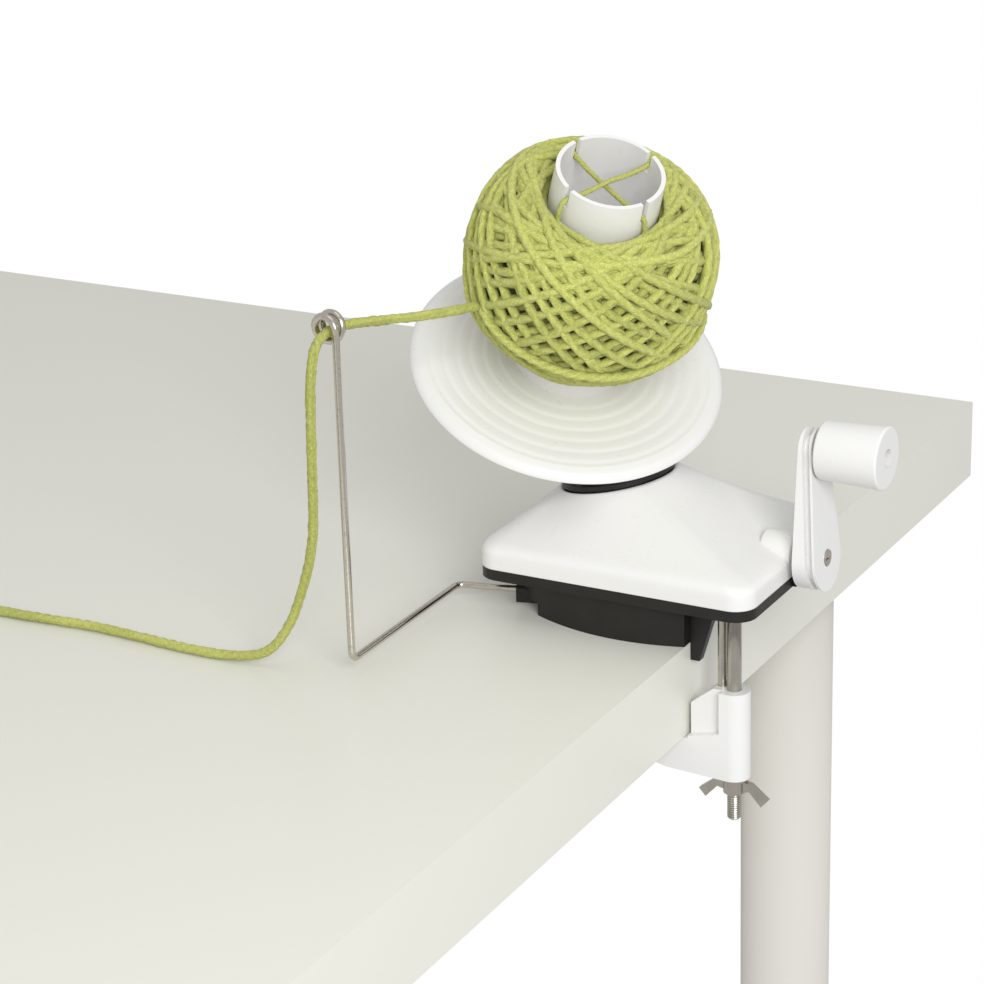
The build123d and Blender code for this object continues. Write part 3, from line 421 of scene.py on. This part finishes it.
def cakeRoute():
    # One long strand: its place on the cake's side swings from low to high and back once a
    # loop while it goes round, and each loop starts about a third of a turn on from the last.
    random = np.random.default_rng(cake["seed"])
    loops = cake["loops"]
    count = int(loops * cake["loopLength"] / cake["step"])
    t = np.linspace(0, 2 * np.pi * loops, count)
    age = 1 - t / t[-1]

    def wobble(key):
        waves, size = cake[key]
        return wander(random, count, waves * loops, size)

    low, high = cake["reach"]
    short = np.clip(np.abs(wander(random, count, loops, 1.0)) - cake["fullLoops"], 0, 1)
    share = 0.5 - (high - (high - low) * short) * np.cos(t) + wobble("placeWander")
    angle = np.arctan2(np.sin(t), cake["tilt"] * np.cos(t)) + 2 * np.pi * np.floor((t + np.pi) / (2 * np.pi))
    angle = angle + t * (cake["precession"] + cake["drift"]) + wobble("turnWander")
    sunk = cake["deepest"] * age ** cake["sinking"]
    lift = cake["skin"] - sunk - yarn["diameter"] / 2 + wobble("liftWander")
    # painted shade that grows with a loop's age, as older loops lie under newer ones, plus a random tone
    toneAndShade = np.clip(cake["buriedShade"] * age + wobble("toneWander"), 0, 1)
    return np.clip(share, *cake["ends"]), lift, angle, toneAndShade


print("yarn cake")
route = cakeRoute()
cuts = np.linspace(0, len(route[0]) - 1, cake["batches"] + 1).astype(int)
for number, (first, last) in enumerate(zip(cuts, cuts[1:])):
    strand = cakeStrand("cakeStrand" + str(number), *[values[first:last + 1] for values in route])
    dress(strand, "spool", "yarn", ("yarn_cake",) if number == 0 else ())

core = {
    "shallow": 3.5 * mm, "swell": 4.0 * mm,     # under the cake's outline at its ends, and more at its middle
    "least": 24.6 * mm, "coneTop": 22.9 * mm, "coneFoot": 24.3 * mm, "sides": 96,
    # its marks paint the core dark, as the shade in the gaps between the strands
    "marks": {"toneAndShade": 0.62, "groove": 0.2},
}


def cakeCore():
    # what fills the cake under its strands: the cake's outline drawn in, closed along the cone
    inner = cakeLine - cakeNormal * (core["shallow"] + core["swell"] * np.sin(np.pi * cakePlace))[:, None]
    inner[:, 0] = np.maximum(inner[:, 0], core["least"])
    down = np.array([[core["coneTop"], inner[-1, 1]], [core["coneFoot"], inner[0, 1]]])
    outline = np.concatenate([inner, down])[::-1]
    return turned("cakeCore", outline, spoolMiddle, lowSide, spoolDir, core["sides"], core["marks"])


dress(cakeCore(), "spool", "yarn")

tail = {
    "points": (
        (-77.7, -121.4, 143.6), (-77.5, -129.2, 143.2), (-76.4, -136.0, 138.8), (-76.6, -138.6, 129.0),
        (-77.6, -138.4, 114.0), (-79.8, -136.0, 88.0), (-82.6, -133.0, 61.0), (-89.4, -131.0, 39.6),
        (-98.0, -131.0, 19.0), (-109.0, -131.6, 5.6), (-126.0, -133.0, 2.3), (-146.0, -134.4, 2.4),
        (-170.0, -132.4, 2.3), (-196.0, -131.0, 2.4), (-220.0, -133.4, 2.3), (-246.0, -135.0, 2.4),
        (-262.0, -134.2, 2.3)),
    "diameter": 4.2 * mm, "farEnd": "bare",
    "still": (-98.0, -131.0, 19.0),     # one of the route's points
}
feed = {
    "points": ((-77.7, -121.4, 143.6), (-77.0, -112.4, 143.9), (-69.6, -90.0, 140.4), (-62.0, -68.6, 137.2),
               (-53.6, -47.7, 136.2)),
    "diameter": 4.2 * mm, "farEnd": "object",
    "still": (-53.6, -47.7, 136.2),
}
free = {
    # flankShade: a lighter painted shade on the inward side of the free yarn
    "step": 1.6 * mm, "flankShade": 0.15, "toneAndShade": 0.15, "toneWaves": 9, "toneSize": 0.1, "seed": 3,
    "settle": 12,                       # steps over which the section's upright turns from up to sideways
}


def routeLine(name, points):
    # the smooth line of a NURBS spline that has the route's points as its control points
    curve = bpy.data.curves.new(name, "CURVE")
    curve.dimensions = "3D"
    curve.resolution_u = 24
    spline = curve.splines.new("NURBS")
    spline.points.add(len(points) - 1)
    for point, place in zip(spline.points, points):
        point.co = (*[value * mm for value in place], 1)
    spline.order_u = 3
    spline.use_endpoint_u = True
    holder = bpy.data.objects.new(name, curve)
    bpy.context.scene.collection.objects.link(holder)
    mesh = bpy.data.meshes.new_from_object(holder)
    line = np.zeros(len(mesh.vertices) * 3)
    mesh.vertices.foreach_get("co", line)
    bpy.data.objects.remove(holder)
    line = line.reshape(-1, 3)
    length = runLength(line)[-1]
    return evenSteps(line, max(2, int(length / free["step"]))), length


def freeYarn(name, node, route):
    line, length = routeLine(name, route["points"])
    options = dict(yarn, diameter=route["diameter"], flankShade=free["flankShade"])
    sideways = np.clip(np.linspace(0, len(line) / free["settle"], len(line)), 0, 1)[:, None]
    outward = unit((1 - sideways) * np.array([0, 0, 1.0]) + sideways * np.array([0.3, 1.0, 0]))
    random = np.random.default_rng(free["seed"])
    toneAndShade = free["toneAndShade"] + wander(random, len(line), free["toneWaves"], free["toneSize"])
    piece = yarnTube(name, line, outward, options, np.clip(toneAndShade, 0, 1))
    piece.data.materials.append(finishes["yarn"].material)
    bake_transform(piece)
    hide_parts(node)


loose = {
    "turn": 2.35, "lift": 3.4 * mm, "count": 170,   # radians round the cake, height over it, steps
    "wave": 0.05, "waveTurn": 1.1, "fall": 0.03,    # of the way up the cake's side
    "sink": 2.2 * mm, "sinkPower": 8,               # how far both ends go into the cake
    "rising": 160,                                  # points of the cake's line, from its foot, that only rise
}


def looseStrand():
    # from the feed's end once across the near side: place and angle read at the feed's end,
    # then the angle runs on while the place on the side sags a little and the ends sink in
    end = np.array(feed["points"][-1]) * mm - spoolMiddle
    height = end @ spoolDir
    flat = end - height * spoolDir
    firstAngle = np.arctan2(flat @ farSide, flat @ lowSide)
    firstShare = np.interp(height, cakeLine[:loose["rising"], 1], cakePlace[:loose["rising"]])
    run = np.linspace(0, 1, loose["count"])
    share = firstShare - loose["wave"] * np.sin(np.pi * run * loose["waveTurn"]) - loose["fall"] * run
    lift = loose["lift"] - yarn["diameter"] / 2 - loose["sink"] * (2 * run - 1) ** loose["sinkPower"]
    return cakeStrand("looseStrand", share, lift, firstAngle + loose["turn"] * run, np.zeros(len(run)))


start = {
    "first": 7.0,                                           # degrees round from the low side
    "strands": ((0.0, 61.7, -1.0), (270.0, 64.0, 0.1)),     # degrees on, height, and its middle's from that
    "before": ((-23.4, 0), (-21.5, 0.1), (-12, -0.9)),      # radius, and height from the strand's own
    "after": ((12, -0.6), (21.0, 0.1), (23.7, -0.8), (24.4, -3.4)),
    "hanging": ((24.7, 56.2), (24.6, 53.2)),                # radius and height on the spindle
    # the section's flankShade is the painted shade on its inward side
    "count": 90, "toneAndShade": 0.1, "section": {"diameter": 2.2 * mm, "twist": 9 * mm, "flankShade": 0.2},
}


def startStrand(name, turn, height, middle):
    # a strand laid across the cone's mouth in two slots, one end hanging outside
    across = [*start["before"], (0, middle), *start["after"]]
    points = [(radius, height + rise) for radius, rise in across] + list(start["hanging"])
    line = smoothLine(points, start["count"]) * mm
    angle = np.radians(start["first"] + turn)
    path = onSpool(line[:, 0], line[:, 1], angle)
    sideways = np.cos(angle + np.pi / 2) * lowSide + np.sin(angle + np.pi / 2) * farSide
    return yarnTube(name, path, np.broadcast_to(sideways, path.shape), dict(yarn, **start["section"]),
                    np.full(len(path), start["toneAndShade"]))


print("free yarn")
for number, place in enumerate(start["strands"]):
    strand = startStrand("startStrand" + str(number), *place)
    dress(strand, "spool", "yarn", ("yarn_start",) if number == 0 else ())
dress(looseStrand(), "spool", "yarn")
freeYarn("yarnTail", "yarn_tail", tail)
freeYarn("yarnFeed", "yarn_feed", feed)

cover = {
    # share of the way from the base's outline to the neck's circle, and height
    "profile": ((0.0, 0.0), (0.0, 3.0), (0.001, 5.2), (0.008, 7.2), (0.035, 8.9), (0.085, 10.3), (0.16, 11.8),
                (0.30, 14.4), (0.52, 18.9), (0.76, 24.4), (0.92, 28.6), (0.985, 30.3), (1.0, 30.5)),
    "rows": 90, "wall": 2 * mm, "skirt": 4 * mm,     # the inside keeps its height below the skirt
    "cornerRadius": 9.5 * mm, "cornerPoints": 16, "sidePoints": 34,
    "neckRadius": 24.8 * mm, "neckWall": 2.6 * mm,
    "bossRadius": 8.6 * mm, "bushRadius": 5.65 * mm, "bossDepth": 14 * mm,
    "bossEdge": 1.2 * mm, "bossCorner": 5, "bossSides": 72,
}


def baseOutline(low, high, shrink):
    # the base's rounded rectangle, anticlockwise from its +X side, close points round each corner
    middle = (low[:2] + high[:2]) / 2
    half = (high[:2] - low[:2]) / 2
    quarter = np.linspace(0, np.pi / 2, cover["cornerPoints"])
    span = (1 - np.cos(np.linspace(0, np.pi, cover["sidePoints"] + 2)[1:-1])) / 2
    arcs = []
    for k, sign in enumerate(((1, 1), (-1, 1), (-1, -1), (1, -1))):
        angle = quarter + np.pi / 2 * k
        centre = middle + (half - cover["cornerRadius"]) * sign
        arcs.append(centre + (cover["cornerRadius"] - shrink) * np.stack([np.cos(angle), np.sin(angle)], -1))
    pieces = []
    for arc, following in zip(arcs, arcs[1:] + arcs[:1]):
        pieces += [arc, arc[-1] + (following[0] - arc[-1]) * span[:, None]]
    return np.concatenate(pieces), middle


def coverRing(share, height, shrink, neckRadius, low, high):
    # the base's outline slides, point by point, into the tilted circle of the neck
    outline, middle = baseOutline(low, high, shrink)
    turn = np.arctan2(*(outline - middle).T[::-1])[:, None]
    across = unit(np.cross([0, 1.0, 0], rotorDir))
    ring = neckPoint + neckRadius * (np.cos(turn) * across + np.sin(turn) * [0, 1.0, 0])
    share = share[:, None]
    return np.stack([(1 - share) * outline[:, 0] + share * ring[:, 0],
                     (1 - share) * outline[:, 1] + share * ring[:, 1],
                     low[2] + height[:, None] + share ** 2 * (ring[:, 2] - neckPoint[2])], -1)


def topCover():
    # outside from the rim up to the neck, then inside back down, a wall's thickness in
    low, high = (np.array(corner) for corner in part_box("top_cover"))
    line = smoothLine(cover["profile"], cover["rows"])
    share, height = line[:, 0], line[:, 1] * mm
    outer = coverRing(share, height, 0.0, cover["neckRadius"], low, high)
    under = np.maximum(height - cover["wall"] * (height > cover["skirt"]), 0)
    innerNeck = cover["neckRadius"] - cover["neckWall"]
    inner = coverRing(share[::-1], under[::-1], cover["wall"], innerNeck, low, high)
    return gridMesh("coverShell", np.concatenate([outer, inner]), loop=True)


def crankBoss():
    # ring of the cover that stands out of its sloping side round the crank's bush
    middle = np.array([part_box("top_cover")[1][0], 0, jointNamed("crank_turn")["pos_m"][2]])
    outer, inner, back = cover["bossRadius"], cover["bushRadius"], cover["bossDepth"]
    section = [(inner, -back), (inner, 0), (outer, 0), (outer, -back)]
    outline = roundedLoop(section, cover["bossEdge"], cover["bossCorner"])
    along = np.array([1.0, 0, 0])
    return turned("crankBoss", outline, middle, np.array([0, 0, -1.0]), along, cover["bossSides"])


print("top cover")
dress(topCover(), "base", "white_plastic", ("top_cover",))
dress(crankBoss(), "base", "white_plastic")

rod = {
    "radius": 3 * mm, "pitch": 1 * mm, "depth": 0.34 * mm, "threadTop": -22 * mm, "fadeTurns": 2,
    "chamfer": 0.8 * mm, "headRadius": 4.8 * mm, "headHeight": 4 * mm, "headEdge": 0.3 * mm,
    "sides": 48, "rowsPerPitch": 10,
}


def clampRod():
    # A rod whose radius dips with the share of a turn that height and angle make together,
    # which draws the thread; above it a plain shank, then a six-sided head.
    low, high = (np.array(corner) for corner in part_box("clamp_rod"))
    middle = (low + high)[:2] / 2
    top, seat, edge = high[2], high[2] - rod["headHeight"], rod["headEdge"]
    angle = np.linspace(0, 2 * np.pi, rod["sides"], endpoint=False)[None, :]
    rows = int((rod["threadTop"] - low[2]) / rod["pitch"] * rod["rowsPerPitch"])
    z = np.linspace(low[2], rod["threadTop"], rows)[:, None]
    share = (z / rod["pitch"] - angle / (2 * np.pi)) % 1
    fade = np.clip((rod["threadTop"] - z) / (rod["fadeTurns"] * rod["pitch"]), 0, 1)
    thread = rod["radius"] - rod["depth"] * fade * np.abs(2 * share - 1)
    thread = np.minimum(thread, rod["radius"] - rod["chamfer"] + (z - low[2]))
    half = np.pi / 6   # half the angle that one side of the head takes up
    head = rod["headRadius"] * np.cos(half) / np.cos((angle + half) % (2 * half) - half)
    shank = np.full(angle.shape, rod["radius"])
    radius = np.concatenate([thread, shank, head - edge, head, head, head - edge])
    z = np.concatenate([z[:, 0], [seat, seat, seat + edge, top - edge, top]])[:, None]
    grid = np.stack([middle[0] + radius * np.cos(angle), middle[1] + radius * np.sin(angle),
                     np.broadcast_to(z, radius.shape)], -1)
    return gridMesh("rodSurface", grid)


print("clamp rod")
dress(clampRod(), "base", "bright_steel", ("clamp_rod",))

saucer = {
    # radius, and drop below the spool's middle
    "band": 37.0, "steps": 6, "firstStep": 30.5, "pitch": 5.7, "stepHeight": 0.4, "bore": 3.05,
    "ramp": 0.9, "groove": 0.06, "grooveEnd": 2.2,   # half a ramp's width; dip at its foot, and where that ends
    "rim": ((61.5, 37.0), (64.9, 37.9), (66.7, 39.4), (67.6, 41.2), (66.6, 41.8), (65.2, 41.0),
            (63.8, 39.4), (61.0, 39.0)),
    "under": ((36.2, 39.0), (30.5, 36.6), (11.0, 36.6), (8.5, 46.7), (3.05, 46.7)),
    "soften": 0.8 * mm, "cornerSteps": 4, "sides": 200,
}


def saucerShell():
    # outline of radius and height: out over the steps, each a short ramp, round the rim and back under
    ramp, rise = saucer["ramp"], saucer["stepHeight"]
    inner = saucer["band"] - saucer["steps"] * rise
    points = [(saucer["bore"], inner)]
    for k in range(saucer["steps"]):
        r = saucer["firstStep"] + k * saucer["pitch"]
        drop = inner + k * rise
        points += [(r - ramp, drop), (r + ramp, drop + rise + saucer["groove"]),
                   (r + saucer["grooveEnd"], drop + rise)]
    points += [*saucer["rim"], *saucer["under"]]
    outline = roundedLoop(np.array(points) * [mm, -mm], saucer["soften"], saucer["cornerSteps"])
    return turned("saucerShell", outline, spoolMiddle, lowSide, spoolDir, saucer["sides"])


print("saucer")
dress(saucerShell(), "spool", "white_plastic", ("saucer",))

table = {
    "edge": 35.2 * mm, "far": 301 * mm, "left": -1.6, "near": -1.6, "thickness": 39.6 * mm,
    "finish": "tableLaminate", "colour": (0.79, 0.79, 0.715), "roughness": 0.35, "smooth": False,
}
leg = {
    "middle": (-0.0015, 0.150), "radius": 0.022, "low": -0.72, "overlap": 0.1 * mm, "sides": 96,
    "finish": "legPaint", "colour": (0.72, 0.70, 0.65), "roughness": 0.8, "smooth": True,
}


def upright(name, outline, low, high, look):
    # an outline in x and y carried straight up from low to high
    grid = np.stack([np.column_stack([outline, np.full(len(outline), z)]) for z in (low, high)])
    piece = gridMesh(name, grid)
    piece.data.polygons.foreach_set("use_smooth", np.full(len(piece.data.polygons), look["smooth"]))
    finish = Finish(look["finish"], Roughness=look["roughness"], Base_Color=opaque(look["colour"]))
    piece.data.materials.append(finish.material)


def tableTop():
    # a slab with its front edge along the winder's stops and its far edge behind it
    left, edge, near, far = table["left"], table["edge"], table["near"], table["far"]
    upright("tableTop", [(left, near), (edge, near), (edge, far), (left, far)], -table["thickness"], 0.0, table)


def tableLeg():
    # round leg under the top, some way in from its edge
    angle = np.linspace(0, 2 * np.pi, leg["sides"], endpoint=False)[:, None]
    ring = np.array(leg["middle"]) + leg["radius"] * np.hstack([np.cos(angle), np.sin(angle)])
    upright("tableLeg", ring, leg["low"], -table["thickness"] + leg["overlap"], leg)


print("table")
tableTop()
tableLeg()

lamps = {
    "key": {"place": (0.98, -1.15, 0.80), "size": 0.9, "power": 19},
    "top": {"place": (0.1, -0.3, 1.5), "size": 1.0, "power": 1.5},
}
aim = Vector((0, 0, 0.08))
for name, lamp in lamps.items():
    data = bpy.data.lights.new(name, "AREA")
    data.shape = "DISK"
    data.size = lamp["size"]
    data.energy = lamp["power"]
    light = bpy.data.objects.new(name, data)
    light.location = lamp["place"]
    light.rotation_euler = (aim - light.location).to_track_quat("-Z", "Y").to_euler()
    bpy.context.scene.collection.objects.link(light)

# the camera sees plain white, and everything else a dimmer white that fills the shadows
studio = {"colour": (1, 1, 1), "fill": 0.60, "seen": 1.0}
world = bpy.data.worlds.new("studio")
bpy.context.scene.world = world
world.use_nodes = True
sky = Nodes(world.node_tree)
colour = opaque(studio["colour"])
dim = sky.node("ShaderNodeBackground", None, {"Color": colour, "Strength": studio["fill"]})
white = sky.node("ShaderNodeBackground", None, {"Color": colour, "Strength": studio["seen"]})
seen = sky.node("ShaderNodeLightPath", output="Is Camera Ray")
mix = sky.node("ShaderNodeMixShader", None, [seen, dim, white])
sky.node("ShaderNodeOutputWorld", None, {"Surface": mix})

camera = {
    "place": (0.48746, -0.99864, 0.46118),
    "right": (0.87564, 0.48207, -0.02945),
    "up": (-0.14344, 0.31781, 0.93725),
    "focalPixels": 2817.0, "imagePixels": 984.0, "sensor": 36.0, "clip": (0.01, 20),
}


def addCamera():
    data = bpy.data.cameras.new("photo")
    data.sensor_width = camera["sensor"]
    data.lens = camera["focalPixels"] / camera["imagePixels"] * camera["sensor"]
    data.clip_start, data.clip_end = camera["clip"]
    right = Vector(camera["right"]).normalized()
    up = Vector(camera["up"])
    up = (up - right * up.dot(right)).normalized()
    back = right.cross(up)
    eye = bpy.data.objects.new("photo", data)
    eye.matrix_world = Matrix.Translation(camera["place"]) @ Matrix((right, up, back)).transposed().to_4x4()
    bpy.context.scene.collection.objects.link(eye)
    bpy.context.scene.camera = eye


addCamera()
bpy.context.scene.view_settings.view_transform = "Standard"
print("lamps, background and camera")
